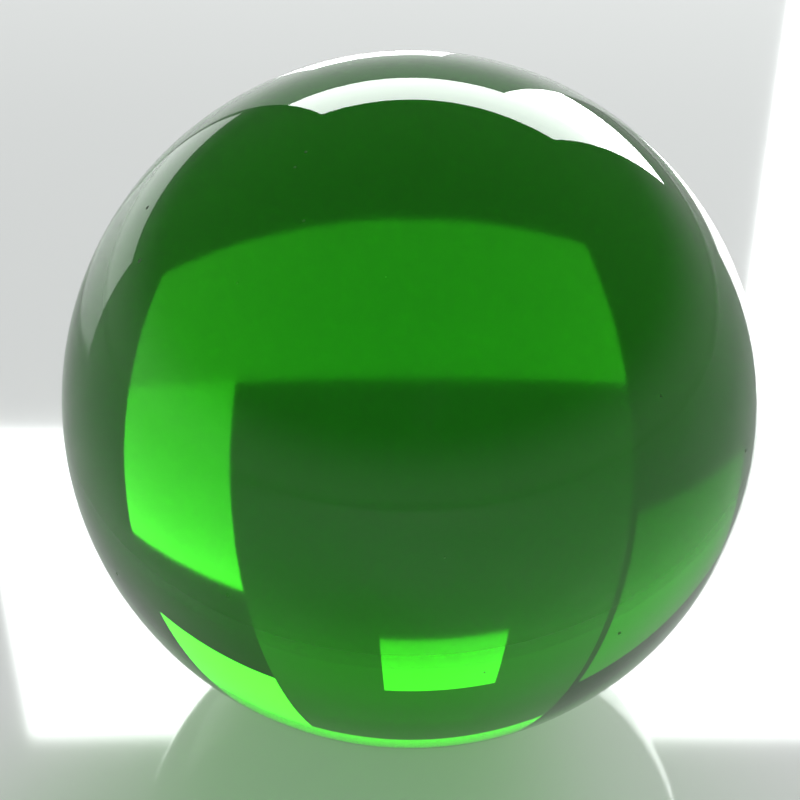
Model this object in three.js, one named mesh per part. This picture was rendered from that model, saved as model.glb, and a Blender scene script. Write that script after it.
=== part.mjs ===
// Solid ball of clear green glass, an ornament for a shelf or a ring stand.
// It is one piece, ground and polished all over, with no flat, bore, seam or coating,
// so nothing marks a top or a bottom: +Z is simply up as it lies.
// Millimetres, +Z up, origin at the centre of the ball.

import * as THREE from "three";

// Driving dimension: the diameter that such balls are sold by.
const BALL_DIAMETER = 100;

// The polished surface is a geodesic net of nearly equal triangles, drawn from an
// icosahedron whose every edge is cut into this many parts. The number is even, so that
// a corner of the net lies at both ends of X, Y and Z and the ball is full size there.
const EDGE_PARTS = 20;

// Glass as seen in daylight: a strong bottle green that is nearly opaque to red and blue.
// The green is shared between the surface and the depth, so that a viewer which shows no
// depth still shows green; together they pass 0.6% of red, 16% of green and 0.15% of blue
// across the whole ball.
function greenGlass(depth) {
  return new THREE.MeshPhysicalMaterial({
    name: "green_glass",
    color: new THREE.Color(0.1, 0.6, 0.05),
    roughness: 0.0,
    metalness: 0.0,
    transmission: 1.0,
    ior: 1.52,
    thickness: depth,
    attenuationColor: new THREE.Color(0.06, 0.26, 0.03),
    attenuationDistance: depth,
  });
}

function polishedBall(diameter) {
  const radius = diameter / 2;
  return new THREE.IcosahedronGeometry(radius, EDGE_PARTS - 1);
}

const ball = new THREE.Mesh(polishedBall(BALL_DIAMETER), greenGlass(BALL_DIAMETER));
ball.name = "glass_ball";

const glassSphere = new THREE.Group();
glassSphere.name = "glass_sphere";
glassSphere.add(ball);

export default glassSphere;
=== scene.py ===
# Looks of a solid ball of clear green glass, on a plain pale floor in soft studio light.
# Metres, +Z up, origin at the centre of the ball.

import math

import bpy
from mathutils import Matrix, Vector


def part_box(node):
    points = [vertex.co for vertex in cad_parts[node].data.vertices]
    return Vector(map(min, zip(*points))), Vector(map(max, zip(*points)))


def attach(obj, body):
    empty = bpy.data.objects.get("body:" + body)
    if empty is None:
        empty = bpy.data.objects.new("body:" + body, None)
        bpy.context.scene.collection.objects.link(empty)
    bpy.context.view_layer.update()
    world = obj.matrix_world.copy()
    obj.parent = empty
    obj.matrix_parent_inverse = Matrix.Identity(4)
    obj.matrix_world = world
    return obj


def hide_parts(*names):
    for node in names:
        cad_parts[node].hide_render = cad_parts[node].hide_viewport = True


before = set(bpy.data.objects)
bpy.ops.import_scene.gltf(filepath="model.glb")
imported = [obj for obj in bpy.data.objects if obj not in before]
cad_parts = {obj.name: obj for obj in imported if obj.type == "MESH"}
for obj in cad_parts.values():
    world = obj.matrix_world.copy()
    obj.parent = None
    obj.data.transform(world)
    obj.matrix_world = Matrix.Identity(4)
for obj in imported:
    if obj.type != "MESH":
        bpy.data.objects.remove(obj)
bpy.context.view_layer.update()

# The ball, from the frame.
BALL_LOW, BALL_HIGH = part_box("glass_ball")
BALL_RADIUS = (BALL_HIGH[2] - BALL_LOW[2]) / 2
BALL_DIAMETER = 2 * BALL_RADIUS
FLOOR_HEIGHT = BALL_LOW[2]

# The glass: what is left of red, green and blue light that crosses one diameter.
CLEAR_SHARE = (0.006, 0.155, 0.0015)
ABSORPTION_DENSITY = 70.0
GLASS_IOR = 1.52

# Even faces on the ball: cuts along each edge of the first cube, and halvings after that.
FIRST_CUTS = 15
HALVINGS = 3

# Dust, smears and hairline scratches on the polish. Spacings, patches, widths and the
# radius are in metres, a share is the level of cloud where they begin, and a haze is the
# roughness that they add.
DUST_SPACING = 0.0055
DUST_RADIUS = 0.00024
DUST_LEAST = 0.3
DUST_COLOUR = (0.55, 0.55, 0.5, 1)
DUST_HAZE = 0.6
DUST_RELIEF = 0.5
SMEAR_SPACING = 0.03
SMEAR_DETAIL = 4.0
SMEAR_SWIRL = 1.2
SMEAR_SHARE = 0.58
SMEAR_HAZE = 0.25
HAIRLINE_SPACING = 0.016
HAIRLINE_WIDTH = 0.00004
HAIRLINE_PATCH = 0.012
HAIRLINE_SHARE = 0.69
HAIRLINE_HAZE = 0.25

# The camera looks down on the ball from close by.
CAMERA_ELEVATION = math.radians(30)
CAMERA_DISTANCE = 4 * BALL_RADIUS
SENSOR_WIDTH_MM = 36
IMAGE_SIZE = 800
BALL_CENTRE_PIXEL = (411.0, 399.5)
BALL_RADIUS_PIXELS = 349.6

# The stage. Places are in ball radii from the centre of the ball. Levels and radiances
# are brightness as seen, where 1 is white.
FLOOR_REACH = 80
FLOOR_SHADE = 0.9
FLOOR_IOR = 2.0
FLOOR_ROUGHNESS = 0.06
WALL_LEVEL = 0.45
WALL_TOP = math.radians(22)
ROOM_LEVEL = 0.1
SOFTBOX_DISTANCE = 40
SOFTBOX_TINT = (0.96, 1.0, 0.985)
FILL_DISTANCE = 20
FILL_ELEVATION = math.radians(32)
FILL_SIDE = 10
FILL_RADIANCE = 4

# How near and how far the camera sees, in metres.
NEAREST_SIGHT = BALL_RADIUS / 50
FARTHEST_SIGHT = 4 * FLOOR_REACH * BALL_RADIUS


class Value:
    """A number in a node tree; Python's operators on it add Math nodes."""

    def __init__(self, recipe, socket):
        self.recipe = recipe
        self.socket = socket

    def maths(self, operation, left, right):
        return self.recipe.value("ShaderNodeMath", {"operation": operation}, {0: left, 1: right})

    def __add__(self, other):
        return self.maths("ADD", self, other)

    def __radd__(self, other):
        return self.maths("ADD", other, self)

    def __sub__(self, other):
        return self.maths("SUBTRACT", self, other)

    def __rsub__(self, other):
        return self.maths("SUBTRACT", other, self)

    def __mul__(self, other):
        return self.maths("MULTIPLY", self, other)

    def __rmul__(self, other):
        return self.maths("MULTIPLY", other, self)

    def __lt__(self, other):
        return self.maths("LESS_THAN", self, other)

    def __gt__(self, other):
        return self.maths("GREATER_THAN", self, other)


class Recipe:
    """The node tree of one material or of the world."""

    def __init__(self, owner):
        owner.use_nodes = True
        self.owner = owner
        self.tree = owner.node_tree
        self.tree.nodes.clear()

    def node(self, kind, settings=None, inputs=None):
        node = self.tree.nodes.new(kind)
        for name, setting in (settings or {}).items():
            setattr(node, name, setting)
        for name, value in (inputs or {}).items():
            self.feed(node.inputs[name], value)
        return node

    def feed(self, socket, value):
        if isinstance(value, Value):
            value = value.socket
        if isinstance(value, bpy.types.NodeSocket):
            self.tree.links.new(value, socket)
        else:
            socket.default_value = value

    def value(self, kind, settings=None, inputs=None, output=0):
        return Value(self, self.node(kind, settings, inputs).outputs[output])


def noise(recipe, place, spacing, detail=2.0, distortion=0.0):
    """Smooth cloudy values from 0 to 1 that change over about this many metres."""
    inputs = {"Vector": place, "Scale": 1 / spacing, "Detail": detail, "Distortion": distortion}
    return recipe.value("ShaderNodeTexNoise", inputs=inputs)


def dust_on(recipe, place):
    """Grains of dust, each of its own size, at uneven spaces."""
    grains = recipe.node(
        "ShaderNodeTexVoronoi", {"feature": "F1"}, {"Vector": place, "Scale": 1 / DUST_SPACING}
    )
    chance = recipe.value(
        "ShaderNodeSeparateColor", inputs={"Color": grains.outputs["Color"]}, output="Red"
    )
    reach = DUST_RADIUS / DUST_SPACING * (DUST_LEAST + chance)
    return Value(recipe, grains.outputs["Distance"]) < reach


def hairlines_on(recipe, place):
    """Short thin scratches from handling, in a few patches."""
    edge = recipe.value(
        "ShaderNodeTexVoronoi",
        {"feature": "DISTANCE_TO_EDGE"},
        {"Vector": place, "Scale": 1 / HAIRLINE_SPACING},
    )
    handled = noise(recipe, place, HAIRLINE_PATCH) > HAIRLINE_SHARE
    return (edge < HAIRLINE_WIDTH / HAIRLINE_SPACING) * handled


def green_glass():
    """Clear glass, coloured through its depth, with a little dust, handling and smears on it."""
    recipe = Recipe(bpy.data.materials.new("green_glass"))
    place = recipe.node("ShaderNodeTexCoord").outputs["Object"]
    dust = dust_on(recipe, place)
    hairlines = hairlines_on(recipe, place)
    cloud = noise(recipe, place, SMEAR_SPACING, SMEAR_DETAIL, SMEAR_SWIRL)
    smears = (cloud > SMEAR_SHARE) * (cloud - SMEAR_SHARE)
    tint = recipe.node(
        "ShaderNodeMix",
        {"data_type": "RGBA"},
        {"Factor": dust, "A": (1, 1, 1, 1), "B": DUST_COLOUR},
    )
    relief = recipe.node(
        "ShaderNodeBump",
        inputs={"Strength": DUST_RELIEF, "Distance": DUST_RADIUS, "Height": dust},
    )
    surface = recipe.node(
        "ShaderNodeBsdfPrincipled",
        inputs={
            "Base Color": tint.outputs["Result"],
            "Roughness": SMEAR_HAZE * smears + HAIRLINE_HAZE * hairlines + DUST_HAZE * dust,
            "IOR": GLASS_IOR,
            "Transmission Weight": 1.0,
            "Normal": relief.outputs["Normal"],
        },
    )
    losses = [-math.log(share) / BALL_DIAMETER for share in CLEAR_SHARE]
    kept = [1 - loss / ABSORPTION_DENSITY for loss in losses]
    body = recipe.node(
        "ShaderNodeVolumeAbsorption",
        inputs={"Color": (*kept, 1), "Density": ABSORPTION_DENSITY},
    )
    # The lamps' light goes straight on through the skin and is coloured by the depth, so
    # that the ball's shadow is green.
    passing = recipe.node("ShaderNodeBsdfTransparent")
    shadow = recipe.node("ShaderNodeLightPath").outputs["Is Shadow Ray"]
    skin = recipe.node(
        "ShaderNodeMixShader", inputs={0: shadow, 1: surface.outputs[0], 2: passing.outputs[0]}
    )
    recipe.node(
        "ShaderNodeOutputMaterial",
        inputs={"Surface": skin.outputs[0], "Volume": body.outputs[0]},
    )
    return recipe.owner


def polished_floor():
    """A pale floor with a clear gloss on it."""
    recipe = Recipe(bpy.data.materials.new("polished_floor"))
    surface = recipe.node(
        "ShaderNodeBsdfPrincipled",
        inputs={
            "Base Color": (FLOOR_SHADE, FLOOR_SHADE, FLOOR_SHADE, 1),
            "Roughness": FLOOR_ROUGHNESS,
            "IOR": FLOOR_IOR,
        },
    )
    recipe.node("ShaderNodeOutputMaterial", inputs={"Surface": surface.outputs[0]})
    return recipe.owner


def polished_ball():
    """A cube cut finely and cast to a sphere, so that its faces are even all over."""
    bpy.ops.object.select_all(action="DESELECT")
    bpy.ops.mesh.primitive_cube_add(size=BALL_DIAMETER)
    ball = bpy.context.object
    ball.name = "polished_ball"
    bpy.ops.object.mode_set(mode="EDIT")
    bpy.ops.mesh.select_all(action="SELECT")
    bpy.ops.mesh.subdivide(number_cuts=FIRST_CUTS)
    bpy.ops.object.mode_set(mode="OBJECT")
    finer = ball.modifiers.new("finer", "SUBSURF")
    finer.subdivision_type = "SIMPLE"
    finer.levels = HALVINGS
    finer.render_levels = HALVINGS
    bpy.ops.object.modifier_apply(modifier=finer.name)
    rounded = ball.modifiers.new("rounded", "CAST")
    rounded.cast_type = "SPHERE"
    rounded.factor = 1
    rounded.radius = 0
    rounded.use_radius_as_size = False
    rounded.size = BALL_RADIUS
    bpy.ops.object.modifier_apply(modifier=rounded.name)
    bpy.ops.object.shade_smooth()
    ball.data.materials.append(green_glass())
    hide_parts("glass_ball")
    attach(ball, "root")


def lay_floor():
    """One flat floor under the ball that reaches past every lamp."""
    bpy.ops.object.select_all(action="DESELECT")
    bpy.ops.mesh.primitive_plane_add(
        size=2 * FLOOR_REACH * BALL_RADIUS, location=(0, 0, FLOOR_HEIGHT)
    )
    floor = bpy.context.object
    floor.name = "floor"
    floor.data.materials.append(polished_floor())


def lamp(name, centre, sides, turn, radiance, colour=(1, 1, 1)):
    """A flat lamp of one even brightness that the camera doesn't see, placed in ball radii."""
    light = bpy.data.lights.new(name, "AREA")
    light.shape = "RECTANGLE"
    light.size = sides[0] * BALL_RADIUS
    light.size_y = sides[1] * BALL_RADIUS
    light.energy = radiance * math.pi * light.size * light.size_y
    light.color = colour
    panel = bpy.data.objects.new(name, light)
    panel.location = Vector(centre) * BALL_RADIUS
    panel.rotation_euler = turn
    panel.visible_camera = False
    bpy.context.scene.collection.objects.link(panel)
    return panel


def softbox(name, sides, heights, radiance, distance=SOFTBOX_DISTANCE):
    """An upright lamp behind the ball, between two sides and two heights."""
    centre = (sum(sides) / 2, distance, sum(heights) / 2)
    size = (sides[1] - sides[0], heights[1] - heights[0])
    lamp(name, centre, size, (-math.pi / 2, 0, 0), radiance, SOFTBOX_TINT)


def fill_light():
    """Soft light from the camera's side that nothing mirrors, neither glass nor floor."""
    centre = (
        0,
        -FILL_DISTANCE * math.cos(FILL_ELEVATION),
        FILL_DISTANCE * math.sin(FILL_ELEVATION),
    )
    turn = (math.pi / 2 - FILL_ELEVATION, 0, 0)
    panel = lamp("fill", centre, (FILL_SIDE, FILL_SIDE), turn, FILL_RADIANCE)
    panel.visible_glossy = False


def light_room():
    """A pale room, the same for every kind of ray, that dims evenly from its walls to its top."""
    studio = bpy.data.worlds.new("studio")
    bpy.context.scene.world = studio
    recipe = Recipe(studio)
    heading = recipe.node("ShaderNodeTexCoord").outputs["Generated"]
    height = recipe.value("ShaderNodeSeparateXYZ", inputs={"Vector": heading}, output="Z")
    level = recipe.value(
        "ShaderNodeMapRange",
        {"interpolation_type": "SMOOTHSTEP"},
        {
            "Value": height,
            "From Min": 0.0,
            "From Max": math.sin(WALL_TOP),
            "To Min": WALL_LEVEL,
            "To Max": ROOM_LEVEL,
        },
    )
    room = recipe.node(
        "ShaderNodeBackground", inputs={"Color": (1, 1, 1, 1), "Strength": level}
    )
    recipe.node("ShaderNodeOutputWorld", inputs={"Surface": room.outputs[0]})


def place_camera():
    """Sets the lens and the shift so that the ball has its measured place in the frame."""
    view = bpy.data.cameras.new("camera")
    view.sensor_width = SENSOR_WIDTH_MM
    rim_slope = math.tan(math.asin(BALL_RADIUS / CAMERA_DISTANCE))
    view.lens = BALL_RADIUS_PIXELS / rim_slope / IMAGE_SIZE * SENSOR_WIDTH_MM
    view.shift_x = (IMAGE_SIZE / 2 - BALL_CENTRE_PIXEL[0]) / IMAGE_SIZE
    view.shift_y = (BALL_CENTRE_PIXEL[1] - IMAGE_SIZE / 2) / IMAGE_SIZE
    view.clip_start = NEAREST_SIGHT
    view.clip_end = FARTHEST_SIGHT
    eye = bpy.data.objects.new("camera", view)
    eye.location = (
        0,
        -CAMERA_DISTANCE * math.cos(CAMERA_ELEVATION),
        CAMERA_DISTANCE * math.sin(CAMERA_ELEVATION),
    )
    eye.rotation_euler = (math.pi / 2 - CAMERA_ELEVATION, 0, 0)
    bpy.context.scene.collection.objects.link(eye)
    bpy.context.scene.camera = eye


place_camera()
polished_ball()
lay_floor()
softbox("softbox_high", sides=(-16.5, 29), heights=(22.5, 38), radiance=8)
softbox("softbox_side", sides=(12, 29), heights=(5.3, 22.5), radiance=13)
softbox("softbox_middle", sides=(-16.5, 12), heights=(-1, 22.5), radiance=0.65)
softbox("softbox_foot", sides=(-6.5, 2), heights=(-1, 2.8), radiance=5, distance=39)
softbox("softbox_left", sides=(-60, -17.5), heights=(-1, 11), radiance=1.3)
fill_light()
light_room()
bpy.context.scene.view_settings.view_transform = "Standard"
